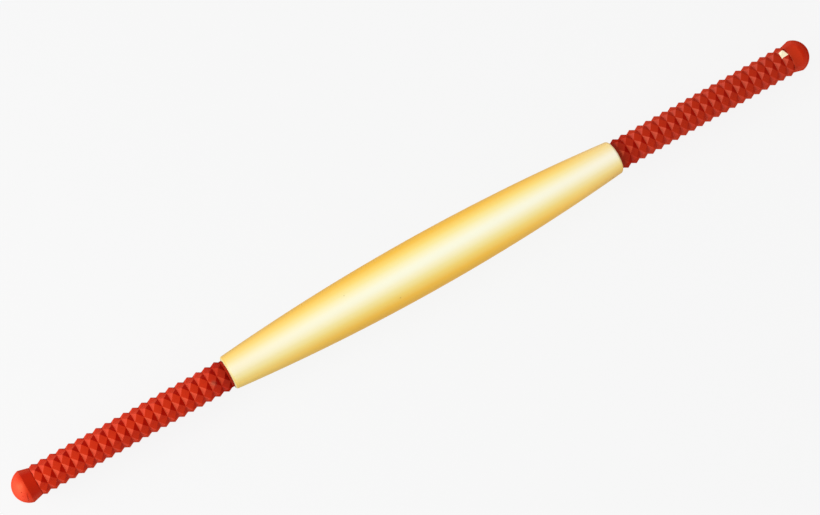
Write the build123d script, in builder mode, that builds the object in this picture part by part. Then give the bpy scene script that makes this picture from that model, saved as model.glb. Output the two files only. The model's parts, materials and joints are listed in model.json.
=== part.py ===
"""Double-handled juggling club.

A thin spindle-shaped shell rides in the middle of a straight core tube, with a
faceted soft-grip handle and a soft domed knob at each end.  The whole stack is
drawn together by one screw in each end of the core tube.

Frame: the club's axis is X, the origin is on the axis at mid-length, Z is up.
All sizes are millimetres.  The right-hand handle is modelled in place; the
left-hand handle is the same set of mouldings turned end for end.
"""

import os
from math import atan, cos, degrees, pi, sin, sqrt

from build123d import *

# ---------------------------------------------------------------- dimensions
overall_length = 800.0

# shell
shell_half = 195.3  # half the shell's length
shell_belly_r = 25.0  # outside radius at mid-length
shell_arc_r = 1965.0  # radius of the long side curve
shell_wall = 1.3
shell_end_wall = 1.6
shell_end_round = 2.4  # outside corner at each end
shell_hole_r = 10.3  # hole in each end wall for the handle

# grip pattern: rings of eight four-sided pyramid studs on an octagonal core
pitch = 8.7
rings = 21
sides = 8
grip_out = 379.8  # outer end of the pattern, against the knob
grip_in = grip_out - rings * pitch  # inner end of the pattern
stud_r = 14.43  # radius of the studs' points
valley_r = 12.24  # radius of the valleys that run along the club between studs
ridge_r = 14.52  # end flank's distance from the axis at the crest plane
groove_r = valley_r * cos(pi / sides)  # end flank's distance in the groove
collar_r = 12.3  # smooth collar between the pattern and the shell
collar_in = shell_half + 0.05

# handle sleeve
sleeve_r = 10.2
sleeve_bore_r = 8.6
sleeve_in = 168.0
sleeve_out = 384.0
anchor_r = 11.0  # rings that lock the grip moulding on the sleeve
anchor_width = 3.0
snap_r = 11.1  # snap ring behind the shell's end wall
snap_in = 188.4
snap_land = 191.6
snap_out = shell_half - shell_end_wall - 0.1

# window in the last ring, where a boss of the sleeve shows through the grip
window_crest = grip_out - pitch / 2
window_pts = [(-3.2, 5.4), (0.8, 5.1), (3.0, -0.9), (-4.3, -1.2)]
window_floor = 8.65  # the boss starts inside the sleeve's wall

# core tube and its ends
tube_r = 6.0
tube_bore_r = 5.0
tube_half = 384.0
plug_r = 4.99
plug_in = 360.0
plug_flange_r = 5.9
plug_flange = 1.4
pin_x = 364.5
pin_r = 1.0
thread_r = 2.5

# knob and its insert
knob_base_r = 12.7
knob_edge_x = 388.0
dome_r = 15.2
knob_edge_round = 1.6
insert_spigot_r = 8.55
insert_neck_r = 9.6
insert_head_r = 11.6
insert_spigot_in = 376.0
insert_neck_out = 387.2
insert_front = 395.0
web_in = 385.5
web_out = 388.6

# screw and washer
washer_r = 5.0
washer_t = 1.0
head_r = 4.5
head_h = 3.0
screw_length = 20.0

# The two handles were fitted with their facets at different turns about X.
# A turn is measured from +Z towards +Y.
right_turn = -18.5
left_turn = -29.1 + 225.0

os.makedirs("parts", exist_ok=True)

bore_axis = Plane.YZ  # sketches on this plane face along +X
profile = Plane.XZ  # x along the club, y is the radius


def shell_r(x):
    """Outside radius of the shell's long curve at x."""
    return shell_belly_r - (shell_arc_r - sqrt(shell_arc_r**2 - x**2))


# ---------------------------------------------------------------- body shell
inner_half = shell_half - shell_end_wall
with BuildPart() as body_shell:
    with BuildSketch(profile):
        with BuildLine():
            e = Polyline(
                (-shell_half, shell_r(shell_half)),
                (-shell_half, 0),
                (shell_half, 0),
                (shell_half, shell_r(shell_half)),
            )
            ThreePointArc(
                (shell_half, shell_r(shell_half)),
                (0, shell_belly_r),
                (-shell_half, shell_r(shell_half)),
            )
        make_face()
    revolve(axis=Axis.X)
    end_edges = body_shell.edges().filter_by(GeomType.CIRCLE).sort_by(Axis.X)
    fillet([end_edges[0], end_edges[-1]], radius=shell_end_round)
    with BuildSketch(profile):
        with BuildLine():
            Polyline(
                (-inner_half, shell_r(inner_half) - shell_wall),
                (-inner_half, 0),
                (inner_half, 0),
                (inner_half, shell_r(inner_half) - shell_wall),
            )
            ThreePointArc(
                (inner_half, shell_r(inner_half) - shell_wall),
                (0, shell_belly_r - shell_wall),
                (-inner_half, shell_r(inner_half) - shell_wall),
            )
        make_face()
        hollow_corners = (
            vertices().filter_by(lambda v: v.Z > 5 or v.Y > 5).sort_by(Axis.X)
        )
        fillet([hollow_corners[0], hollow_corners[-1]], radius=1.2)
    revolve(axis=Axis.X, mode=Mode.SUBTRACT)
    with BuildSketch(bore_axis.offset(-shell_half)):
        Circle(shell_hole_r)
    extrude(amount=2 * shell_half, mode=Mode.SUBTRACT)
body_shell.part.label = "body_shell"
export_step(body_shell.part, "parts/body_shell.step")

# ---------------------------------------------------------------- core tube
with BuildPart() as core_tube:
    with BuildSketch(bore_axis.offset(-tube_half)):
        Circle(tube_r)
        Circle(tube_bore_r, mode=Mode.SUBTRACT)
    extrude(amount=2 * tube_half)
    rims = core_tube.edges().filter_by(GeomType.CIRCLE)
    chamfer([r for r in rims if abs(r.radius - tube_r) < 0.01], length=0.2)
    with BuildSketch(Plane.XY.offset(-tube_r - 1)):
        with Locations((-pin_x, 0), (pin_x, 0)):
            Circle(pin_r)
    extrude(amount=2 * tube_r + 2, mode=Mode.SUBTRACT)
core_tube.part.label = "core_tube"
export_step(core_tube.part, "parts/core_tube.step")

# --------------------------------------------------- outer form of the grip
# In the handle's own frame one row of studs points along +Z, and the window
# lies over the valley between that row and the next one round towards +Y.
# A ring is an octagonal double taper, which gives the studs' end flanks, cut
# to a 16-pointed outline, which gives their side flanks.
ring_taper = degrees(atan((ridge_r - groove_r) / (pitch / 2)))
crests = [grip_in + pitch * (i + 0.5) for i in range(rings)]
anchors = [crests[1], crests[rings // 2], crests[-3]]
facet = Plane(
    origin=(window_crest, 0, 0),
    x_dir=(1, 0, 0),
    z_dir=(0, sin(pi / sides), cos(pi / sides)),
)

star_pts = []
for k in range(sides):
    a = 2 * pi * k / sides
    b = a + pi / sides
    star_pts += [
        (stud_r * cos(a), stud_r * sin(a)),
        (valley_r * cos(b), valley_r * sin(b)),
    ]

with BuildPart() as ring_blank:
    with BuildSketch(bore_axis):
        RegularPolygon(
            radius=ridge_r, side_count=sides, major_radius=False, rotation=180 / sides
        )
    extrude(amount=pitch / 2, both=True, taper=ring_taper)

with BuildPart() as grip_form:
    with Locations(*[(x, 0, 0) for x in crests]):
        add(ring_blank.part)
    with BuildSketch(bore_axis.offset(grip_in)):
        with BuildLine():
            Polyline(*star_pts, close=True)
        make_face()
    extrude(amount=rings * pitch, mode=Mode.INTERSECT)

# ------------------------------------------- grip moulding, in its own frame
with BuildPart() as grip:
    add(grip_form.part)
    with BuildSketch(bore_axis.offset(collar_in)):
        Circle(collar_r)
    extrude(amount=grip_in - collar_in)
    with BuildSketch(bore_axis.offset(collar_in)):
        Circle(sleeve_r)
    extrude(amount=grip_out - collar_in, mode=Mode.SUBTRACT)
    for x in anchors:
        with BuildSketch(bore_axis.offset(x - anchor_width / 2)):
            Circle(anchor_r)
        extrude(amount=anchor_width, mode=Mode.SUBTRACT)
    with BuildSketch(facet.offset(window_floor)):
        with BuildLine():
            Polyline(*window_pts, close=True)
        make_face()
    extrude(amount=6, mode=Mode.SUBTRACT)

# --------------------------------------- sleeve moulding, in its own frame
with BuildPart() as window_boss:
    add(grip_form.part)
    with BuildSketch(facet.offset(window_floor)):
        with BuildLine():
            Polyline(*window_pts, close=True)
        make_face()
    extrude(amount=6, mode=Mode.INTERSECT)

anchor_half = anchor_width / 2
sleeve_line = [
    (sleeve_in, sleeve_bore_r),
    (sleeve_in, sleeve_r - 0.6),
    (sleeve_in + 1.2, sleeve_r),
    (snap_in, sleeve_r),
    (snap_land, snap_r),
    (snap_out, snap_r),
    (snap_out, sleeve_r),
]
for x in anchors:
    sleeve_line += [
        (x - anchor_half, sleeve_r),
        (x - anchor_half, anchor_r),
        (x + anchor_half, anchor_r),
        (x + anchor_half, sleeve_r),
    ]
sleeve_line += [
    (sleeve_out, sleeve_r),
    (sleeve_out, sleeve_bore_r),
]
with BuildPart() as sleeve:
    with BuildSketch(profile):
        with BuildLine():
            Polyline(*sleeve_line, close=True)
        make_face()
    revolve(axis=Axis.X)
    add(window_boss.part)

# ------------------------------------------ knob moulding, in its own frame
dome_x = overall_length / 2 - dome_r
edge_r = sqrt(dome_r**2 - (knob_edge_x - dome_x) ** 2)
with BuildPart() as knob:
    with BuildSketch(profile):
        with BuildLine():
            Polyline(
                (overall_length / 2, 0),
                (grip_out, 0),
                (grip_out, knob_base_r),
                (knob_edge_x, edge_r),
            )
            ThreePointArc(
                (knob_edge_x, edge_r),
                (dome_x + dome_r * cos(pi / 6), dome_r * sin(pi / 6)),
                (overall_length / 2, 0),
            )
        make_face()
    revolve(axis=Axis.X)
    knob_circles = knob.edges().filter_by(GeomType.CIRCLE)
    fillet(
        [c for c in knob_circles if abs(c.radius - edge_r) < 0.01],
        radius=knob_edge_round,
    )
    # the hollow follows the insert: over the sleeve's end, the neck, the head
    with BuildSketch(profile):
        with BuildLine():
            Polyline(
                (grip_out, 0),
                (grip_out, sleeve_r),
                (sleeve_out, sleeve_r),
                (sleeve_out, insert_neck_r),
                (insert_neck_out, insert_neck_r),
                (insert_neck_out, insert_head_r),
                (insert_front - 3.4, insert_head_r),
                (insert_front, insert_head_r - 3.4),
                (insert_front, 0),
                close=True,
            )
        make_face()
    revolve(axis=Axis.X, mode=Mode.SUBTRACT)

# ----------------------------------------- knob insert, in its own frame
with BuildPart() as knob_insert:
    with BuildSketch(profile):
        with BuildLine():
            Polyline(
                (insert_spigot_in, tube_r + 0.05),
                (insert_spigot_in, insert_spigot_r - 0.5),
                (insert_spigot_in + 1.0, insert_spigot_r),
                (sleeve_out, insert_spigot_r),
                (sleeve_out, insert_neck_r),
                (insert_neck_out, insert_neck_r),
                (insert_neck_out, insert_head_r),
                (insert_front - 3.4, insert_head_r),
                (insert_front, insert_head_r - 3.4),
                (insert_front, washer_r + 0.25),
                (web_out, washer_r + 0.25),
                (web_out, thread_r + 0.25),
                (web_in, thread_r + 0.25),
                (web_in, tube_r + 0.05),
                close=True,
            )
        make_face()
    revolve(axis=Axis.X)

# -------------------------------------------- washer, screw, plug and pin
with BuildPart() as knob_washer:
    with BuildSketch(bore_axis.offset(web_out)):
        Circle(washer_r)
        Circle(thread_r + 0.15, mode=Mode.SUBTRACT)
    extrude(amount=washer_t)

head_seat = web_out + washer_t
with BuildPart() as knob_screw:
    with BuildSketch(bore_axis.offset(head_seat)):
        Circle(head_r)
    extrude(amount=head_h)
    crown = knob_screw.edges().filter_by(GeomType.CIRCLE).sort_by(Axis.X)[-1]
    fillet(crown, radius=1.4)
    with BuildSketch(bore_axis.offset(head_seat - screw_length)):
        Circle(thread_r)
    extrude(amount=screw_length)
    tip = knob_screw.edges().filter_by(GeomType.CIRCLE).sort_by(Axis.X)[0]
    chamfer(tip, length=0.6)
    with BuildSketch(bore_axis.offset(head_seat + head_h)):
        RegularPolygon(radius=1.5, side_count=6, major_radius=False)
    extrude(amount=-2.0, mode=Mode.SUBTRACT)

with BuildPart() as end_plug:
    with BuildSketch(bore_axis.offset(plug_in)):
        Circle(plug_r)
    extrude(amount=tube_half - plug_in)
    with BuildSketch(bore_axis.offset(tube_half)):
        Circle(plug_flange_r)
    extrude(amount=plug_flange)
    with BuildSketch(bore_axis.offset(plug_in)):
        Circle(thread_r)
    extrude(amount=tube_half + plug_flange - plug_in, mode=Mode.SUBTRACT)
    inner_rim = end_plug.faces().sort_by(Axis.X)[0].outer_wire().edges()
    chamfer(inner_rim, length=0.5)
    with BuildSketch(Plane.XY.offset(-tube_r - 1)):
        with Locations((pin_x, 0)):
            Circle(pin_r)
    extrude(amount=2 * tube_r + 2, mode=Mode.SUBTRACT)

with BuildPart() as plug_pin:
    with BuildSketch(Plane.XY.offset(-tube_r + 0.1)):
        with Locations((pin_x, 0)):
            Circle(pin_r)
            Circle(pin_r - 0.4, mode=Mode.SUBTRACT)
            with Locations((0, pin_r)):
                Rectangle(0.35, 1.2, mode=Mode.SUBTRACT)
    extrude(amount=2 * tube_r - 0.2)

# ----------------------------------------------------- bush, in its own frame
with BuildPart() as inner_bush:
    with BuildSketch(profile):
        with BuildLine():
            Polyline(
                (sleeve_in - 2.0, tube_r + 0.05),
                (sleeve_in - 2.0, sleeve_r - 0.2),
                (sleeve_in, sleeve_r - 0.2),
                (sleeve_in, sleeve_bore_r - 0.03),
                (sleeve_in + 14.0, sleeve_bore_r - 0.03),
                (sleeve_in + 15.0, sleeve_bore_r - 1.0),
                (sleeve_in + 15.0, tube_r + 0.05),
                close=True,
            )
        make_face()
    revolve(axis=Axis.X)

# ------------------------------------------------------ place both handles
right = Location((0, 0, 0), (-right_turn, 0, 0))
left = Location((0, 0, 0), (-left_turn, 0, 0)) * Location((0, 0, 0), (0, 0, 180))

with BuildPart() as right_grip:
    with Locations(right):
        add(grip.part)
right_grip.part.label = "right_grip"
export_step(right_grip.part, "parts/right_grip.step")

with BuildPart() as left_grip:
    with Locations(left):
        add(grip.part)
left_grip.part.label = "left_grip"
export_step(left_grip.part, "parts/left_grip.step")

with BuildPart() as right_handle_sleeve:
    with Locations(right):
        add(sleeve.part)
right_handle_sleeve.part.label = "right_handle_sleeve"
export_step(right_handle_sleeve.part, "parts/right_handle_sleeve.step")

with BuildPart() as left_handle_sleeve:
    with Locations(left):
        add(sleeve.part)
left_handle_sleeve.part.label = "left_handle_sleeve"
export_step(left_handle_sleeve.part, "parts/left_handle_sleeve.step")

with BuildPart() as right_knob:
    with Locations(right):
        add(knob.part)
right_knob.part.label = "right_knob"
export_step(right_knob.part, "parts/right_knob.step")

with BuildPart() as left_knob:
    with Locations(left):
        add(knob.part)
left_knob.part.label = "left_knob"
export_step(left_knob.part, "parts/left_knob.step")

# the inner hardware sits square to the frame at both ends
turned = Location((0, 0, 0), (0, 0, 180))

with BuildPart() as right_knob_insert:
    add(knob_insert.part)
right_knob_insert.part.label = "right_knob_insert"
export_step(right_knob_insert.part, "parts/right_knob_insert.step")

with BuildPart() as left_knob_insert:
    with Locations(turned):
        add(knob_insert.part)
left_knob_insert.part.label = "left_knob_insert"
export_step(left_knob_insert.part, "parts/left_knob_insert.step")

with BuildPart() as right_knob_washer:
    add(knob_washer.part)
right_knob_washer.part.label = "right_knob_washer"
export_step(right_knob_washer.part, "parts/right_knob_washer.step")

with BuildPart() as left_knob_washer:
    with Locations(turned):
        add(knob_washer.part)
left_knob_washer.part.label = "left_knob_washer"
export_step(left_knob_washer.part, "parts/left_knob_washer.step")

with BuildPart() as right_knob_screw:
    add(knob_screw.part)
right_knob_screw.part.label = "right_knob_screw"
export_step(right_knob_screw.part, "parts/right_knob_screw.step")

with BuildPart() as left_knob_screw:
    with Locations(turned):
        add(knob_screw.part)
left_knob_screw.part.label = "left_knob_screw"
export_step(left_knob_screw.part, "parts/left_knob_screw.step")

with BuildPart() as right_end_plug:
    add(end_plug.part)
right_end_plug.part.label = "right_end_plug"
export_step(right_end_plug.part, "parts/right_end_plug.step")

with BuildPart() as left_end_plug:
    with Locations(turned):
        add(end_plug.part)
left_end_plug.part.label = "left_end_plug"
export_step(left_end_plug.part, "parts/left_end_plug.step")

with BuildPart() as right_plug_pin:
    add(plug_pin.part)
right_plug_pin.part.label = "right_plug_pin"
export_step(right_plug_pin.part, "parts/right_plug_pin.step")

with BuildPart() as left_plug_pin:
    with Locations(turned):
        add(plug_pin.part)
left_plug_pin.part.label = "left_plug_pin"
export_step(left_plug_pin.part, "parts/left_plug_pin.step")

with BuildPart() as right_inner_bush:
    add(inner_bush.part)
right_inner_bush.part.label = "right_inner_bush"
export_step(right_inner_bush.part, "parts/right_inner_bush.step")

with BuildPart() as left_inner_bush:
    with Locations(turned):
        add(inner_bush.part)
left_inner_bush.part.label = "left_inner_bush"
export_step(left_inner_bush.part, "parts/left_inner_bush.step")
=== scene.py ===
import json
import math

import bpy
import bmesh
from mathutils import Matrix, Vector


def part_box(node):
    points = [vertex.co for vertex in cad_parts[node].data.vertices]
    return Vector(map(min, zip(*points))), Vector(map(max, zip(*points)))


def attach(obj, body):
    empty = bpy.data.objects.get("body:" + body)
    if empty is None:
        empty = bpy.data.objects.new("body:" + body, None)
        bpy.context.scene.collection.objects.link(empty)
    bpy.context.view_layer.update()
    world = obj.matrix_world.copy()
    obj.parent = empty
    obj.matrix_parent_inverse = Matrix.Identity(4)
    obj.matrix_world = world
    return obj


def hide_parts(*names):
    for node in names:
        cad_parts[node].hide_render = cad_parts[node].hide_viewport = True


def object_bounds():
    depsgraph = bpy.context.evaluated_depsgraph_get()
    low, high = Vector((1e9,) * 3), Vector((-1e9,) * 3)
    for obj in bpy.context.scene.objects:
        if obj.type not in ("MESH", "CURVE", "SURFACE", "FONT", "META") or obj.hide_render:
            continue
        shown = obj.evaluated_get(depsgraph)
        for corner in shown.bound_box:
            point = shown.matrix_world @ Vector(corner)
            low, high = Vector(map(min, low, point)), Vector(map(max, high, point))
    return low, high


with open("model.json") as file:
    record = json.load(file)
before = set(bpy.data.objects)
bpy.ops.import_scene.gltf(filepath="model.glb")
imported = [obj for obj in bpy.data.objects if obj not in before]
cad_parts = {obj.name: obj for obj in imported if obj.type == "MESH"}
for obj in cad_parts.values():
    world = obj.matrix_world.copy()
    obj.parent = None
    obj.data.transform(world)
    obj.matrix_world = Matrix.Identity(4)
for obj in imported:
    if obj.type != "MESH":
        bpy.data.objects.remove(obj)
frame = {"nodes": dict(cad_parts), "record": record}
cad_lo, cad_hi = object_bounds()
record = frame["record"]
scene = bpy.context.scene

MM = 0.001

# ---------------------------------------------------------------- the frame
shell_lo, shell_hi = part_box("body_shell")
grip_lo, grip_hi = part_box("right_grip")
knob_lo, knob_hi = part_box("right_knob")
SHELL_HALF = shell_hi.x / MM
BELLY_R = 25.0
GRIP_OUT = grip_hi.x / MM
COLLAR_IN = grip_lo.x / MM
KNOB_BASE = knob_lo.x / MM
TIP = knob_hi.x / MM

# shape of the mouldings, in millimetres, as in the CAD model
ARC_R = 1965.0
PITCH = 8.7
RINGS = 21
SIDES = 8
GRIP_IN = GRIP_OUT - RINGS * PITCH
STUD_R = 14.46
VALLEY_R = 12.24
COLLAR_R = 12.3
SLEEVE_R = 10.2
RIGHT_TURN = -18.5
LEFT_TURN = -29.1 + 225.0
WINDOW_X = GRIP_OUT - PITCH / 2
WINDOW = [(-3.2, 5.4), (0.8, 5.1), (3.0, -0.9), (-4.3, -1.2)]


# ------------------------------------------------------------ mesh helpers
def obj_from_bm(name, bm):
    me = bpy.data.meshes.new(name)
    bmesh.ops.recalc_face_normals(bm, faces=bm.faces)
    bm.to_mesh(me)
    bm.free()
    ob = bpy.data.objects.new(name, me)
    scene.collection.objects.link(ob)
    return ob


def arc(cx, cr, radius, a0, a1, n):
    """Points of an arc in the (x, r) half plane, angles in degrees from +x."""
    out = []
    for i in range(n + 1):
        a = math.radians(a0 + (a1 - a0) * i / n)
        out.append((cx + radius * math.cos(a), cr + radius * math.sin(a)))
    return out


def lathe(name, outline, segments=192, turn=0.0):
    """A closed solid turned about X from a closed outline of (x, r) in mm."""
    bm = bmesh.new()
    rings = []
    for x, r in outline:
        if r < 1e-6:
            rings.append([bm.verts.new((x, 0, 0))])
        else:
            ring = []
            for k in range(segments):
                a = 2 * math.pi * k / segments + math.radians(turn)
                ring.append(bm.verts.new((x, r * math.sin(a), r * math.cos(a))))
            rings.append(ring)
    m = len(rings)
    for i in range(m):
        a, b = rings[i], rings[(i + 1) % m]
        if len(a) == 1 and len(b) == 1:
            continue
        for k in range(segments):
            k2 = (k + 1) % segments
            if len(a) == 1:
                bm.faces.new((a[0], b[k], b[k2]))
            elif len(b) == 1:
                bm.faces.new((a[k], b[0], a[k2]))
            else:
                bm.faces.new((a[k], b[k], b[k2], a[k2]))
    return obj_from_bm(name, bm)


def boolean(ob, cutter, op):
    """Applies an exact boolean and removes the cutter."""
    mod = ob.modifiers.new("b", "BOOLEAN")
    mod.operation = op
    mod.solver = "EXACT"
    mod.object = cutter
    bpy.context.view_layer.update()
    dg = bpy.context.evaluated_depsgraph_get()
    made = bpy.data.meshes.new_from_object(ob.evaluated_get(dg))
    ob.modifiers.remove(mod)
    old = ob.data
    ob.data = made
    bpy.data.meshes.remove(old)
    bpy.data.objects.remove(cutter)


def finish_piece(ob, matrix, sharp_deg, node, material):
    """Scales from mm to m, places the piece, sets its shading and material, hangs it under the root and hides the CAD
    part it replaces.
    """
    ob.data.transform(matrix)
    ob.data.transform(Matrix.Scale(MM, 4))
    if matrix.determinant() < 0:
        ob.data.flip_normals()
    for p in ob.data.polygons:
        p.use_smooth = True
    ob.data.set_sharp_from_angle(angle=math.radians(sharp_deg))
    ob.data.materials.clear()
    ob.data.materials.append(material)
    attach(ob, "root")
    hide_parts(node)


def turned(psi, end_for_end=False):
    """Rotation about X by psi, measured from +Z towards +Y, after an end for end turn about Z."""
    m = Matrix.Rotation(math.radians(-psi), 4, "X")
    if end_for_end:
        m = m @ Matrix.Rotation(math.pi, 4, "Z")
    return m


# --------------------------------------------------------------- materials
def new_material(name):
    m = bpy.data.materials.new(name)
    m.use_nodes = True
    nt = m.node_tree
    nt.nodes.clear()
    out = nt.nodes.new("ShaderNodeOutputMaterial")
    bsdf = nt.nodes.new("ShaderNodeBsdfPrincipled")
    nt.links.new(bsdf.outputs[0], out.inputs[0])
    return m, nt, bsdf


def node(nt, kind, **values):
    n = nt.nodes.new(kind)
    for k, v in values.items():
        if k in n.inputs:
            n.inputs[k].default_value = v
        else:
            setattr(n, k, v)
    return n


def coords(nt, scale=(1, 1, 1), rot=(0, 0, 0)):
    tc = nt.nodes.new("ShaderNodeTexCoord")
    mp = nt.nodes.new("ShaderNodeMapping")
    mp.inputs["Scale"].default_value = scale
    mp.inputs["Rotation"].default_value = rot
    nt.links.new(tc.outputs["Object"], mp.inputs["Vector"])
    return mp.outputs["Vector"]


def noise(nt, vec, scale, detail=3.0, rough=0.5, distortion=0.0):
    n = nt.nodes.new("ShaderNodeTexNoise")
    n.inputs["Scale"].default_value = scale
    n.inputs["Detail"].default_value = detail
    n.inputs["Roughness"].default_value = rough
    n.inputs["Distortion"].default_value = distortion
    nt.links.new(vec, n.inputs["Vector"])
    return n.outputs["Fac"]


def ramp(nt, fac, stops, interp="LINEAR"):
    r = nt.nodes.new("ShaderNodeValToRGB")
    r.color_ramp.interpolation = interp
    el = r.color_ramp.elements
    while len(el) > 1:
        el.remove(el[-1])
    el[0].position, el[0].color = stops[0][0], (*stops[0][1], 1)
    for pos, col in stops[1:]:
        e = el.new(pos)
        e.color = (*col, 1)
    nt.links.new(fac, r.inputs["Fac"])
    return r.outputs["Color"]


def grey(v):
    return (v, v, v)


def mix(nt, a, b, fac, mode="MIX"):
    m = nt.nodes.new("ShaderNodeMix")
    m.data_type = "RGBA"
    m.blend_type = mode
    for sock, val in (("A", a), ("B", b)):
        s = [i for i in m.inputs if i.name == sock and i.type == "RGBA"][0]
        if isinstance(val, tuple):
            s.default_value = (*val, 1)
        else:
            nt.links.new(val, s)
    f = [i for i in m.inputs if i.name == "Factor" and i.type == "VALUE"][0]
    if isinstance(fac, (int, float)):
        f.default_value = fac
    else:
        nt.links.new(fac, f)
    return [o for o in m.outputs if o.type == "RGBA"][0]


def math_node(nt, op, a, b=None, clamp=False):
    m = nt.nodes.new("ShaderNodeMath")
    m.operation = op
    m.use_clamp = clamp
    for i, v in enumerate((a, b)):
        if v is None:
            continue
        if isinstance(v, (int, float)):
            m.inputs[i].default_value = v
        else:
            nt.links.new(v, m.inputs[i])
    return m.outputs[0]


def bump(nt, bsdf, height, strength, distance, under=None):
    b = nt.nodes.new("ShaderNodeBump")
    b.inputs["Strength"].default_value = strength
    b.inputs["Distance"].default_value = distance
    nt.links.new(height, b.inputs["Height"])
    if under is not None:
        nt.links.new(under, b.inputs["Normal"])
    nt.links.new(b.outputs["Normal"], bsdf.inputs["Normal"])
    return b.outputs["Normal"]


def facing(nt):
    """|N.I|: 1 where the surface faces the eye, 0 at its outline."""
    g = nt.nodes.new("ShaderNodeNewGeometry")
    d = nt.nodes.new("ShaderNodeVectorMath")
    d.operation = "DOT_PRODUCT"
    nt.links.new(g.outputs["Normal"], d.inputs[0])
    nt.links.new(g.outputs["Incoming"], d.inputs[1])
    return math_node(nt, "ABSOLUTE", d.outputs["Value"])


def flat_yz(nt, vec):
    """The vector's part across the club, unit length."""
    sep = nt.nodes.new("ShaderNodeSeparateXYZ")
    nt.links.new(vec, sep.inputs[0])
    com = nt.nodes.new("ShaderNodeCombineXYZ")
    nt.links.new(sep.outputs["Y"], com.inputs["Y"])
    nt.links.new(sep.outputs["Z"], com.inputs["Z"])
    unit = nt.nodes.new("ShaderNodeVectorMath")
    unit.operation = "NORMALIZE"
    nt.links.new(com.outputs[0], unit.inputs[0])
    return unit.outputs[0], sep.outputs["X"]


def painted_highlight_angle(nt, lean):
    """1 along the line of the shell that faces the eye, falling to 0 at its outline: the mask of the shell's painted
    highlight.

    Measured across the club only, so the rounded ends and end walls stay pale.
    """
    g = nt.nodes.new("ShaderNodeNewGeometry")
    eye, _ = flat_yz(nt, g.outputs["Incoming"])
    add = nt.nodes.new("ShaderNodeVectorMath")
    add.operation = "ADD"
    nt.links.new(eye, add.inputs[0])
    add.inputs[1].default_value = lean
    unit = nt.nodes.new("ShaderNodeVectorMath")
    unit.operation = "NORMALIZE"
    nt.links.new(add.outputs[0], unit.inputs[0])
    side, nx = flat_yz(nt, g.outputs["Normal"])
    d = nt.nodes.new("ShaderNodeVectorMath")
    d.operation = "DOT_PRODUCT"
    nt.links.new(side, d.inputs[0])
    nt.links.new(unit.outputs[0], d.inputs[1])
    across = math_node(nt, "ABSOLUTE", d.outputs["Value"])
    cap = math_node(nt, "MULTIPLY", math_node(nt, "ABSOLUTE", nx), 1.2)
    return math_node(nt, "MAXIMUM", across, cap)


def spot(nt, centre, radius, soft):
    """A mask: 1 within radius (metres) of a point, 0 beyond radius + soft."""
    tc = nt.nodes.new("ShaderNodeTexCoord")
    d = nt.nodes.new("ShaderNodeVectorMath")
    d.operation = "DISTANCE"
    nt.links.new(tc.outputs["Object"], d.inputs[0])
    d.inputs[1].default_value = centre
    m = nt.nodes.new("ShaderNodeMapRange")
    m.inputs["From Min"].default_value = radius
    m.inputs["From Max"].default_value = radius + soft
    m.inputs["To Min"].default_value = 1.0
    m.inputs["To Max"].default_value = 0.0
    nt.links.new(d.outputs["Value"], m.inputs["Value"])
    return m.outputs["Result"]


def along_x(nt):
    """Object X in metres."""
    tc = nt.nodes.new("ShaderNodeTexCoord")
    sep = nt.nodes.new("ShaderNodeSeparateXYZ")
    nt.links.new(tc.outputs["Object"], sep.inputs[0])
    return sep.outputs["X"]


SHELL_GAIN = 0.885
SHELL_LR = ((0.86, 0.86, 0.86), (1.00, 1.02, 1.08), (1.13, 1.15, 1.24))
SHELL_MID = [
    (0.30, (0.830, 0.445, 0.030)),
    (0.36, (0.860, 0.465, 0.034)),
    (0.60, (0.980, 0.553, 0.056)),
    (0.80, (0.980, 0.705, 0.162)),
    (0.92, (0.965, 0.823, 0.350)),
    (0.98, (0.982, 0.905, 0.565)),
    (1.00, (0.975, 0.947, 0.700)),
]
SHELL_END = [
    (0.30, (0.800, 0.490, 0.104)),
    (0.36, (0.820, 0.510, 0.116)),
    (0.60, (0.980, 0.642, 0.148)),
    (0.80, (0.970, 0.728, 0.232)),
    (0.92, (0.956, 0.799, 0.376)),
    (0.98, (0.965, 0.871, 0.546)),
    (1.00, (0.973, 0.896, 0.630)),
]


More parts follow.
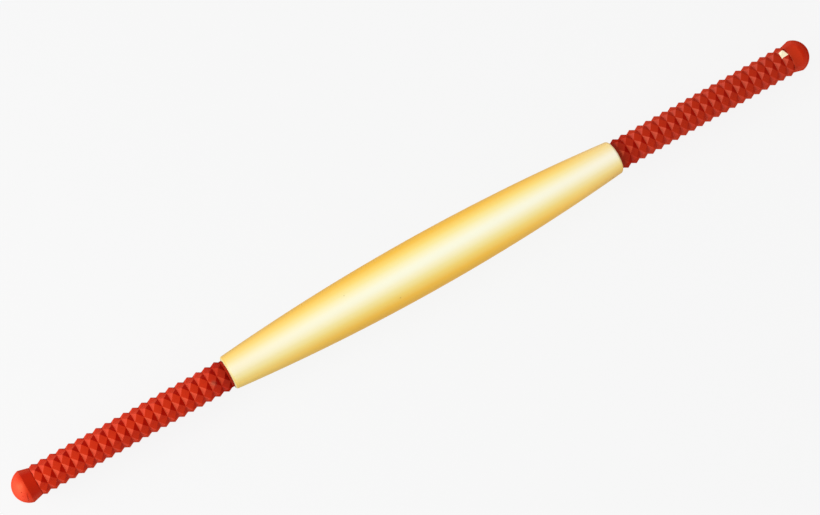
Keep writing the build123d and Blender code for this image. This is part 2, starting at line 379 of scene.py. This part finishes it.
def shell_material():
    m, nt, b = new_material("cream_gold_shell_painted_highlight")
    f = painted_highlight_angle(nt, (0.0, 0.057, 0.019))
    k = SHELL_GAIN
    # painted highlight: pale where seen square on, golden towards the outline
    mid = ramp(nt, f, [(x, tuple(c * k for c in col)) for x, col in SHELL_MID])
    end = ramp(nt, f, [(x, tuple(c * k for c in col)) for x, col in SHELL_END])
    ax = along_x(nt)
    far = math_node(nt, "ABSOLUTE", ax)
    blend = ramp(nt, math_node(nt, "MULTIPLY", far, 4.0), [(0.20, grey(0.0)), (0.46, grey(0.3)), (0.74, grey(1.0))])
    base = mix(nt, mid, end, blend)
    # painted shading along the length: the shell darker towards the left end, brighter and paler towards the right end
    lr = math_node(nt, "ADD", math_node(nt, "MULTIPLY", ax, 2.5), 0.5)
    gain = ramp(nt, lr, [(0.0, SHELL_LR[0]), (0.5, SHELL_LR[1]), (1.0, SHELL_LR[2])])
    base = mix(nt, base, gain, 1.0, "MULTIPLY")
    # painted shade on the end walls and their round corners, darker where they face along the club, most where they
    # face left
    geo = nt.nodes.new("ShaderNodeNewGeometry")
    nsep = nt.nodes.new("ShaderNodeSeparateXYZ")
    nt.links.new(geo.outputs["Normal"], nsep.inputs[0])
    ends = math_node(nt, "ADD", math_node(nt, "MULTIPLY", nsep.outputs["X"], 0.5), 0.5)
    wall = ramp(
        nt,
        ends,
        [(0.05, (0.72, 0.67, 0.48)), (0.28, (0.82, 0.77, 0.60)), (0.43, (1.0, 1.0, 1.0)),
         (0.60, (1.0, 1.0, 1.0)), (0.80, (0.92, 0.84, 0.70))],
    )
    base = mix(nt, base, wall, 1.0, "MULTIPLY")
    # painted light and shade: each end's upper and lower flank is lightened or darkened by which way it faces
    flank = math_node(nt, "ADD", math_node(nt, "MULTIPLY", nsep.outputs["Y"], 0.5), 0.5)
    right_end_painted_light = ramp(
        nt,
        flank,
        [(0.0, (0.85, 0.82, 0.80)), (0.053, (0.87, 0.87, 0.94)), (0.125, (0.97, 0.97, 1.0)), (0.34, (1.0, 1.0, 1.0)),
         (0.595, (0.99, 1.0, 1.22)), (0.715, (0.96, 1.01, 1.42)), (0.84, (0.97, 1.06, 1.66))],
    )
    left_end_painted_light = ramp(
        nt,
        flank,
        [(0.0, (1.11, 1.23, 1.24)), (0.053, (1.0, 1.08, 1.22)), (0.125, (1.01, 1.10, 1.28)), (0.20, (1.01, 1.05, 1.14)),
         (0.34, (1.0, 1.0, 1.0))],
    )
    base = mix(nt, base, right_end_painted_light, ramp(nt, lr, [(0.86, grey(0.0)), (0.99, grey(1.0))]), "MULTIPLY")
    base = mix(nt, base, left_end_painted_light, ramp(nt, lr, [(0.02, grey(1.0)), (0.20, grey(0.45)), (0.36, grey(0.0))]), "MULTIPLY")
    v = coords(nt)
    cloud = noise(nt, v, 9.0, 4.0, 0.55)
    tint = ramp(nt, cloud, [(0.3, (0.985, 0.975, 0.95)), (0.7, (1.0, 1.0, 1.0))])
    base = mix(nt, base, tint, 1.0, "MULTIPLY")
    # rare moulding specks
    vo = nt.nodes.new("ShaderNodeTexVoronoi")
    vo.feature = "F1"
    vo.inputs["Scale"].default_value = 46.0
    vo.inputs["Randomness"].default_value = 1.0
    nt.links.new(v, vo.inputs["Vector"])
    dot = ramp(nt, vo.outputs["Distance"], [(0.0, grey(1.0)), (0.022, grey(1.0)), (0.034, grey(0.0))])
    pick = ramp(nt, vo.outputs["Color"], [(0.0, grey(0.0)), (0.80, grey(0.0)), (0.82, grey(1.0))])
    speck = mix(nt, dot, pick, 1.0, "MULTIPLY")
    speck_f = math_node(nt, "MULTIPLY", speck, 0.35)
    base = mix(nt, base, (0.45, 0.24, 0.05), speck_f)
    for centre, r, soft, k2 in (
        ((-0.03698, -0.0209, 0.01305), 0.0003, 0.0006, 0.55),
        ((-0.07902, 0.00219, 0.0233), 0.0003, 0.0006, 0.30),
        ((0.18314, -0.01642, 0.00085), 0.0005, 0.0009, 0.60),
    ):
        base = mix(nt, base, (0.30, 0.16, 0.05), math_node(nt, "MULTIPLY", spot(nt, centre, r, soft), k2))
    nt.links.new(base, b.inputs["Base Color"])
    rough = ramp(nt, noise(nt, v, 60.0, 3.0, 0.6), [(0.3, grey(0.33)), (0.7, grey(0.42))])
    nt.links.new(rough, b.inputs["Roughness"])
    b.inputs["IOR"].default_value = 1.46
    look = facing(nt)
    nt.links.new(ramp(nt, look, [(0.0, grey(0.03)), (0.45, grey(0.12)), (1.0, grey(0.40))]), b.inputs["Specular IOR Level"])
    orange = noise(nt, v, 900.0, 2.0, 0.5)
    wave = noise(nt, v, 38.0, 2.0, 0.5)
    n1 = bump(nt, b, wave, 0.25, 0.00008)
    bump(nt, b, orange, 0.12, 0.00004, n1)
    return m


def rubber_material(name, base, dark, light, scuff, lr, sheen_col, sheen_k, sheen_from, away, marks=()):
    m, nt, b = new_material(name)
    v = coords(nt)
    blotch = noise(nt, v, 55.0, 5.0, 0.6)
    col = ramp(nt, blotch, [(0.25, dark), (0.55, base), (0.85, base)])
    grain = noise(nt, v, 1500.0, 3.0, 0.6)
    g = ramp(nt, grain, [(0.30, grey(0.90)), (0.70, grey(1.06))])
    col = mix(nt, col, g, 1.0, "MULTIPLY")
    # handled edges rub a little paler and duller
    geo = nt.nodes.new("ShaderNodeNewGeometry")
    edge = ramp(nt, geo.outputs["Pointiness"], [(0.505, grey(0.0)), (0.60, grey(1.0))])
    patch = ramp(nt, noise(nt, v, 140.0, 4.0, 0.65), [(0.42, grey(0.0)), (0.66, grey(1.0))])
    wear = math_node(nt, "MULTIPLY", math_node(nt, "MULTIPLY", edge, patch), scuff)
    col = mix(nt, col, light, wear)
    # painted shade: the rubber darker towards the right, away from the key
    side = math_node(nt, "ADD", math_node(nt, "MULTIPLY", along_x(nt), 1.25), 0.5)
    col = mix(nt, col, ramp(nt, side, [(0.14, grey(lr[0])), (0.86, grey(lr[1]))]), 1.0, "MULTIPLY")
    # painted sheen on the faces that look along the club to the left, towards the key: weaker on faces that look
    # towards -Y, paler towards the right
    nsep = nt.nodes.new("ShaderNodeSeparateXYZ")
    nt.links.new(geo.outputs["Normal"], nsep.inputs[0])
    painted_sheen = ramp(nt, math_node(nt, "MULTIPLY", nsep.outputs["X"], -1.0), [(sheen_from, grey(0.0)), (0.62, grey(sheen_k))])
    low = ramp(
        nt,
        math_node(nt, "ADD", math_node(nt, "MULTIPLY", nsep.outputs["Y"], 0.5), 0.5),
        [(0.05, grey(0.35)), (0.30, grey(1.0))],
    )
    painted_sheen = mix(nt, painted_sheen, low, 1.0, "MULTIPLY")
    paler = tuple(c * k for c, k in zip(sheen_col, (1.06, 1.40, 1.65)))
    sheen_tone = mix(nt, sheen_col, paler, ramp(nt, side, [(0.40, grey(0.0)), (0.62, grey(1.0))]))
    col = mix(nt, col, sheen_tone, painted_sheen)
    # painted shade: darker red on the faces that look along the club to the right, away from the key
    right_facing_shade = ramp(nt, nsep.outputs["X"], [(0.08, (1.0, 1.0, 1.0)), (0.30, away)])
    # the right knob gets painted light and shade of its own: the dome brighter near its rim and darker at its tip,
    # darker towards its base; the left knob keeps the painted shade of right-facing faces
    if name.startswith("red_knob"):
        near = math_node(nt, "LESS_THAN", along_x(nt), 0.0)
        dome = ramp(nt, nsep.outputs["X"], [(0.0, grey(1.0)), (0.22, grey(1.30)), (0.45, grey(1.18)), (0.75, grey(0.98)), (1.0, grey(0.85))])
        skirt = ramp(
            nt,
            math_node(nt, "MULTIPLY", math_node(nt, "SUBTRACT", along_x(nt), 0.378), 50.0),
            [(0.05, grey(0.84)), (0.45, grey(1.02))],
        )
        right_knob_painted_light = mix(nt, dome, skirt, 1.0, "MULTIPLY")
        col = mix(nt, col, mix(nt, right_knob_painted_light, right_facing_shade, near), 1.0, "MULTIPLY")
    else:
        col = mix(nt, col, right_facing_shade, 1.0, "MULTIPLY")
    # the outline picks up a little warm light
    rim = ramp(nt, facing(nt), [(0.10, grey(0.85)), (0.45, grey(0.60)), (0.74, grey(0.0))])
    rim = mix(nt, rim, ramp(nt, nsep.outputs["X"], [(0.30, grey(1.0)), (0.70, grey(0.15))]), 1.0, "MULTIPLY")
    col = mix(nt, col, (0.53, 0.052, 0.022), rim)
    # painted shade in the corner against the shell
    corner = ramp(
        nt,
        math_node(nt, "MULTIPLY", math_node(nt, "ABSOLUTE", along_x(nt)), 4.0),
        [(0.790, (0.66, 0.30, 0.20)), (0.826, (0.82, 0.42, 0.28)), (0.868, (1.0, 1.0, 1.0))],
    )
    col = mix(nt, col, corner, 1.0, "MULTIPLY")
    for centre, r, soft, tone, k2 in marks:
        col = mix(nt, col, tone, math_node(nt, "MULTIPLY", spot(nt, centre, r, soft), k2))
    nt.links.new(col, b.inputs["Base Color"])
    rough = ramp(nt, noise(nt, v, 240.0, 4.0, 0.6), [(0.3, grey(0.46)), (0.7, grey(0.58))])
    nt.links.new(rough, b.inputs["Roughness"])
    look = facing(nt)
    level = ramp(nt, look, [(0.0, grey(0.0)), (0.42, grey(0.0)), (0.62, grey(0.12)), (0.9, grey(0.34))])
    level = mix(nt, level, ramp(nt, nsep.outputs["X"], [(0.05, grey(1.0)), (0.35, grey(0.30))]), 1.0, "MULTIPLY")
    nt.links.new(level, b.inputs["Specular IOR Level"])
    b.inputs["Specular Tint"].default_value = (1.0, 0.72, 0.30, 1)
    b.inputs["IOR"].default_value = 1.5
    pores = noise(nt, v, 2600.0, 2.0, 0.5)
    soft = noise(nt, v, 420.0, 3.0, 0.55)
    n1 = bump(nt, b, soft, 0.25, 0.00010)
    bump(nt, b, pores, 0.20, 0.00005, n1)
    return m


def plastic_material(name, base, rough=0.45, streak=0.04):
    m, nt, b = new_material(name)
    v = coords(nt, (1, 8, 8))
    n = noise(nt, v, 40.0, 4.0, 0.55)
    lo = tuple(c * (1 - 2 * streak) for c in base)
    col = ramp(nt, n, [(0.3, lo), (0.7, base)])
    nt.links.new(col, b.inputs["Base Color"])
    r = ramp(nt, noise(nt, coords(nt), 300.0, 3.0), [(0.3, grey(rough - 0.06)), (0.7, grey(rough + 0.06))])
    nt.links.new(r, b.inputs["Roughness"])
    bump(nt, b, noise(nt, coords(nt), 1400.0, 2.0), 0.15, 0.00005)
    return m


def metal_material(name, base, rough, along_x=True, streak=0.10):
    m, nt, b = new_material(name)
    stretch = (4, 900, 900) if along_x else (900, 60, 60)
    lines = noise(nt, coords(nt, stretch), 1.0, 5.0, 0.7)
    lo = tuple(c * (1 - 1.6 * streak) for c in base)
    col = ramp(nt, lines, [(0.3, lo), (0.7, base)])
    nt.links.new(col, b.inputs["Base Color"])
    b.inputs["Metallic"].default_value = 1.0
    r = ramp(nt, lines, [(0.3, grey(rough - 0.08)), (0.7, grey(rough + 0.08))])
    nt.links.new(r, b.inputs["Roughness"])
    bump(nt, b, lines, 0.2, 0.00003)
    return m


MAT = {
    "shell": shell_material(),
    "grip": rubber_material(
        "red_grip_rubber", (0.46, 0.0100, 0.0003), (0.41, 0.0080, 0.0002), (0.50, 0.040, 0.012), 0.25,
        (1.0, 0.92), (0.50, 0.050, 0.027), 0.85, 0.10, (0.92, 0.35, 0.20),
        (
            ((-0.21111, -0.00548, 0.012), 0.0009, 0.0026, (0.20, 0.045, 0.030), 0.55),
            ((-0.35953, -0.0107, 0.00771), 0.0003, 0.0009, (0.30, 0.004, 0.0), 0.7),
        ),
    ),
    "knob": rubber_material(
        "red_knob_rubber", (0.50, 0.0150, 0.0020), (0.45, 0.0120, 0.0016), (0.52, 0.06, 0.02), 0.20,
        (1.0, 0.94), (0.60, 0.060, 0.026), 0.80, 0.26, (0.90, 0.50, 0.35),
        # painted shade along the slit and in the two pits of the left dome
        tuple(
            ((-0.38999 - 0.00174 * k / 6, -0.00926 - 0.00385 * k / 6 - 0.0006 * (1 - (k / 3 - 1) ** 2),
              0.01087 - 0.00759 * k / 6 + 0.0006 * (1 - (k / 3 - 1) ** 2)), 0.00028, 0.0007, (0.33, 0.012, 0.003), 0.55)
            for k in range(7)
        )
        + (
            ((-0.39358, -0.00625, 0.01071), 0.0003, 0.0008, (0.36, 0.016, 0.004), 0.55),
            ((-0.39402, -0.00892, 0.00812), 0.0003, 0.0007, (0.36, 0.016, 0.004), 0.45),
        ),
    ),
    "sleeve": plastic_material("cream_sleeve_plastic", (0.96, 0.86, 0.58), 0.42),
    "insert": plastic_material("black_insert_nylon", (0.022, 0.022, 0.024), 0.5, 0.10),
    "bush": plastic_material("white_bush_nylon", (0.72, 0.71, 0.64), 0.42),
    "tube": metal_material("drawn_aluminium_tube", (0.80, 0.80, 0.82), 0.34),
    "plug": metal_material("turned_aluminium_plug", (0.76, 0.76, 0.78), 0.30, False),
    "screw": metal_material("zinc_plated_screw", (0.66, 0.66, 0.70), 0.30, False),
    "washer": metal_material("zinc_plated_washer", (0.70, 0.70, 0.72), 0.28, False),
    "pin": metal_material("spring_steel_pin", (0.30, 0.30, 0.32), 0.38, False),
}

# -------------------------------------------------------------- body shell
def shell_r(x):
    return BELLY_R - (ARC_R - math.sqrt(ARC_R**2 - x * x))


def make_shell():
    wall, end_wall, hole, rnd = 1.3, 1.6, 10.3, 2.4
    r_end = shell_r(SHELL_HALF)
    slope = math.degrees(math.asin(SHELL_HALF / ARC_R))
    # rounded corner: circle tangent to the end wall and to the long curve
    cx = SHELL_HALF - rnd
    cr = shell_r(cx) - rnd / math.cos(math.radians(slope)) + 0.02
    right = [(SHELL_HALF, hole), (SHELL_HALF, cr - 1.0)] + arc(cx, cr, rnd, 0, 90 - slope, 12)
    top = []
    x0 = right[-1][0]
    n = 150
    for i in range(1, 2 * n):
        x = x0 - x0 * i / n
        top.append((x, shell_r(x)))
    left = [(-x, r) for x, r in reversed(right)]
    inner_half = SHELL_HALF - end_wall
    ri = shell_r(inner_half) - wall
    inner = [(-inner_half, hole), (-inner_half, ri - 1.0), (-inner_half + 1.0, ri)]
    m = 40
    for i in range(1, 2 * m):
        x = -inner_half + 1.0 + (2 * inner_half - 2.0) * i / (2 * m)
        inner.append((x, shell_r(x) - wall))
    inner += [(inner_half - 1.0, ri), (inner_half, ri - 1.0), (inner_half, hole)]
    outline = right + top + left + inner
    ob = lathe("shell_skin", outline, 256)
    finish_piece(ob, Matrix.Identity(4), 35, "body_shell", MAT["shell"])
    return ob


# ------------------------------------------------------------------- grips
def make_grip(name, node_name, matrix):
    bm = bmesh.new()
    step = 2 * math.pi / SIDES

    def at(x, r, a):
        return bm.verts.new((x, r * math.sin(a), r * math.cos(a)))

    crest = [
        [at(GRIP_IN + PITCH * (i + 0.5), STUD_R, q * step) for q in range(SIDES)]
        for i in range(RINGS)
    ]
    groove = [
        [at(GRIP_IN + PITCH * j, VALLEY_R, (q + 0.5) * step) for q in range(SIDES)]
        for j in range(RINGS + 1)
    ]
    for i in range(RINGS):
        a, b = groove[i], groove[i + 1]
        for q in range(SIDES):
            q2, qm = (q + 1) % SIDES, (q - 1) % SIDES
            c, c2 = crest[i][q], crest[i][q2]
            bm.faces.new((a[q], b[q], c))
            bm.faces.new((b[q], a[q], c2))
            bm.faces.new((c, a[q], a[qm]))
            bm.faces.new((c, b[qm], b[q]))
    bm.faces.new(groove[0])
    bm.faces.new(groove[-1])
    bmesh.ops.recalc_face_normals(bm, faces=bm.faces)
    lo, hi = GRIP_IN + 0.01, GRIP_OUT - 0.01
    edges = [
        e
        for e in bm.edges
        if not all(v.co.x < lo for v in e.verts) and not all(v.co.x > hi for v in e.verts)
    ]
    bmesh.ops.bevel(
        bm,
        geom=edges,
        offset=0.28,
        offset_type="OFFSET",
        segments=3,
        profile=0.5,
        affect="EDGES",
        clamp_overlap=True,
    )
    ob = obj_from_bm(name, bm)
    collar = lathe(
        "collar",
        [(COLLAR_IN, 4.0), (COLLAR_IN, COLLAR_R - 0.25), (COLLAR_IN + 0.25, COLLAR_R),
         (GRIP_IN + 0.4, COLLAR_R), (GRIP_IN + 0.4, 4.0)],
        128,
    )
    boolean(ob, collar, "UNION")
    bore = lathe("bore", [(COLLAR_IN - 5, 0), (COLLAR_IN - 5, SLEEVE_R), (GRIP_OUT + 5, SLEEVE_R), (GRIP_OUT + 5, 0)], 128)
    boolean(ob, bore, "DIFFERENCE")
    # the window in the last ring
    wb = bmesh.new()
    t = math.pi / SIDES
    n_dir = Vector((0, math.sin(t), math.cos(t)))
    s_dir = Vector((0, math.cos(t), -math.sin(t)))
    lows, highs = [], []
    for x, s in WINDOW:
        p = Vector((WINDOW_X + x, 0, 0)) + s_dir * s
        lows.append(wb.verts.new(p + n_dir * 8.0))
        highs.append(wb.verts.new(p + n_dir * 16.0))
    wb.faces.new(lows)
    wb.faces.new(highs)
    for k in range(4):
        wb.faces.new((lows[k], lows[(k + 1) % 4], highs[(k + 1) % 4], highs[k]))
    cutter = obj_from_bm("window", wb)
    boolean(ob, cutter, "DIFFERENCE")
    finish_piece(ob, matrix, 28, node_name, MAT["grip"])
    return ob


# ------------------------------------------------------------------- knobs
def cut_nick(ob):
    """A short slit and two pits in the left dome, in the club's frame, millimetres."""
    a, b = Vector((-389.99, -9.26, 10.87)), Vector((-391.73, -13.11, 3.28))
    centre_x = -(TIP - 15.2)
    out = ((a + b) / 2 - Vector((centre_x, 0, 0))).normalized()
    along = (b - a).normalized()
    wide = along.cross(out).normalized()
    bm = bmesh.new()
    half = (b - a).length / 2
    mid = (a + b) / 2
    pts = []
    for k in range(9):
        s = -1 + 2 * k / 8
        w = 0.30 * (1 - s * s) ** 0.5 + 0.02
        # keep the floor of the slit a constant depth under the dome
        m = mid + along * (s * half)
        d = (m - Vector((centre_x, 0, 0))).normalized()
        rim = Vector((centre_x, 0, 0)) + d * (15.2 + 1.0)
        floor = Vector((centre_x, 0, 0)) + d * (15.2 - 0.55)
        pts.append((bm.verts.new(rim - wide * w), bm.verts.new(rim + wide * w), bm.verts.new(floor)))
    for p0, p1 in zip(pts, pts[1:]):
        bm.faces.new((p0[0], p1[0], p1[1], p0[1]))
        bm.faces.new((p0[1], p1[1], p1[2], p0[2]))
        bm.faces.new((p0[2], p1[2], p1[0], p0[0]))
    bm.faces.new((pts[0][0], pts[0][1], pts[0][2]))
    bm.faces.new((pts[-1][0], pts[-1][2], pts[-1][1]))
    boolean(ob, obj_from_bm("slit", bm), "DIFFERENCE")
    for centre, r in (((-393.58, -6.25, 10.71), 0.5), ((-394.02, -8.92, 8.12), 0.45)):
        pb = bmesh.new()
        bmesh.ops.create_icosphere(pb, subdivisions=2, radius=r)
        d = (Vector(centre) - Vector((centre_x, 0, 0))).normalized()
        bmesh.ops.translate(pb, verts=pb.verts, vec=Vector((centre_x, 0, 0)) + d * (15.2 + r * 0.35))
        boolean(ob, obj_from_bm("pit", pb), "DIFFERENCE")


def make_knob(name, node_name, matrix, nick):
    dome_r = 15.2
    dome_x = TIP - dome_r
    edge_x = KNOB_BASE + 8.2
    edge_r = math.sqrt(dome_r**2 - (edge_x - dome_x) ** 2)
    base_r = 12.7
    rnd = 1.6
    # rim: circle inside both the cone and the dome
    d = Vector((edge_x - KNOB_BASE, edge_r - base_r)).normalized()
    nrm = Vector((-d.y, d.x))
    best = None
    for i in range(4000):
        s = i * 0.002
        p = Vector((edge_x, edge_r)) - d * s
        c = p - nrm * rnd
        dist = (c - Vector((dome_x, 0))).length + rnd
        if dist <= dome_r:
            best = (p, c)
            break
    p, c = best
    a1 = math.degrees(math.atan2(c.y, c.x - dome_x))
    a0 = math.degrees(math.atan2(nrm.y, nrm.x))
    skirt = KNOB_BASE - 0.85
    outline = [(KNOB_BASE, SLEEVE_R), (KNOB_BASE, 11.4), (skirt, 11.4), (skirt, base_r - 0.35)] + arc(
        skirt + 0.25, base_r - 0.35, 0.25, 180, 105, 4
    )
    n = 10
    s0 = Vector(outline[-1])
    for i in range(1, n):
        outline.append(tuple(s0.lerp(p, i / n)))
    outline += arc(c.x, c.y, rnd, a0, a1, 10)
    m = 40
    for i in range(1, m):
        a = math.radians(a1 * (1 - i / m))
        outline.append((dome_x + dome_r * math.cos(a), dome_r * math.sin(a)))
    outline += [
        (TIP, 0),
        (395.0, 0),
        (395.0, 8.2),
        (391.6, 11.6),
        (387.2, 11.6),
        (387.2, 9.6),
        (384.0, 9.6),
        (384.0, SLEEVE_R),
    ]
    ob = lathe(name, outline, 192)
    if nick:
        ob.data.transform(matrix)
        cut_nick(ob)
        ob.data.transform(matrix.inverted())
    finish_piece(ob, matrix, 50, node_name, MAT["knob"])
    return ob


shell = make_shell()
right_m = turned(RIGHT_TURN)
left_m = turned(LEFT_TURN, True)
make_grip("right_grip_skin", "right_grip", right_m)
make_grip("left_grip_skin", "left_grip", left_m)
make_knob("right_knob_skin", "right_knob", right_m, False)
make_knob("left_knob_skin", "left_knob", left_m, True)

# CAD nodes that stay get their finish
slots = {s["node"]: s["material_slot"] for s in record["subparts"]}
for name, ob in frame["nodes"].items():
    ob.data.materials.clear()
    ob.data.materials.append(MAT[slots[name]])
    for p in ob.data.polygons:
        p.use_smooth = True
    ob.data.set_sharp_from_angle(angle=math.radians(30))

# ------------------------------------------------------------- floor, light
def make_floor():
    bm = bmesh.new()
    bmesh.ops.create_grid(bm, x_segments=24, y_segments=24, size=12.0)
    me = bpy.data.meshes.new("studio_floor")
    bm.to_mesh(me)
    bm.free()
    ob = bpy.data.objects.new("studio_floor", me)
    ob.location = (0, 0, cad_lo.z - 0.0005)
    scene.collection.objects.link(ob)
    m, nt, b = new_material("pale_studio_floor")
    col = ramp(nt, noise(nt, coords(nt), 3.0, 2.0), [(0.3, grey(0.040)), (0.7, grey(0.042))])
    nt.links.new(col, b.inputs["Base Color"])
    b.inputs["Roughness"].default_value = 0.9
    b.inputs["Specular IOR Level"].default_value = 0.0
    b.inputs["Emission Color"].default_value = (1, 1, 1, 1)
    b.inputs["Emission Strength"].default_value = 0.883
    me.materials.append(m)
    return ob


make_floor()

world = bpy.data.worlds.new("studio")
scene.world = world
world.use_nodes = True
wt = world.node_tree
bg = wt.nodes["Background"]
bg.inputs[0].default_value = (1.0, 1.0, 1.0, 1)
wtc = wt.nodes.new("ShaderNodeTexCoord")
wsep = wt.nodes.new("ShaderNodeSeparateXYZ")
wt.links.new(wtc.outputs["Generated"], wsep.inputs[0])
# a white tent, brighter on the key's side
wt.links.new(
    math_node(wt, "ADD", math_node(wt, "MULTIPLY", wsep.outputs["X"], -0.26), 0.82),
    bg.inputs[1],
)


def area(name, loc, target, size, power, color=(1, 1, 1)):
    li = bpy.data.lights.new(name, "AREA")
    li.shape = "SQUARE"
    li.size = size
    li.energy = power
    li.color = color
    ob = bpy.data.objects.new(name, li)
    ob.location = loc
    d = Vector(target) - Vector(loc)
    ob.rotation_mode = "QUATERNION"
    ob.rotation_quaternion = d.to_track_quat("-Z", "Y")
    scene.collection.objects.link(ob)
    return ob


area("left_key", (-1.4, 0.10, 0.70), (0.0, 0, 0), 0.9, 21.0)

# ------------------------------------------------------------------ camera
az, el = math.radians(-31.006), math.radians(68.375)
back = Vector((math.sin(az) * math.cos(el), -math.cos(az) * math.cos(el), math.sin(el)))
right = Vector((math.cos(az), math.sin(az), 0))
up = back.cross(right)
f_px, dist = 2300.0, 1.9888
off_x, off_y = 14.825 / f_px * dist, -5.601 / f_px * dist
cam_data = bpy.data.cameras.new("camera")
cam_data.sensor_width = 36.0
cam_data.lens = f_px / 820.0 * 36.0
cam = bpy.data.objects.new("camera", cam_data)
scene.collection.objects.link(cam)
loc = back * dist - right * off_x - up * off_y
cam.matrix_world = Matrix(
    (
        (right.x, up.x, back.x, loc.x),
        (right.y, up.y, back.y, loc.y),
        (right.z, up.z, back.z, loc.z),
        (0, 0, 0, 1),
    )
)
scene.camera = cam
scene.view_settings.view_transform = "Standard"
scene.view_settings.look = "None"

bpy.context.view_layer.update()
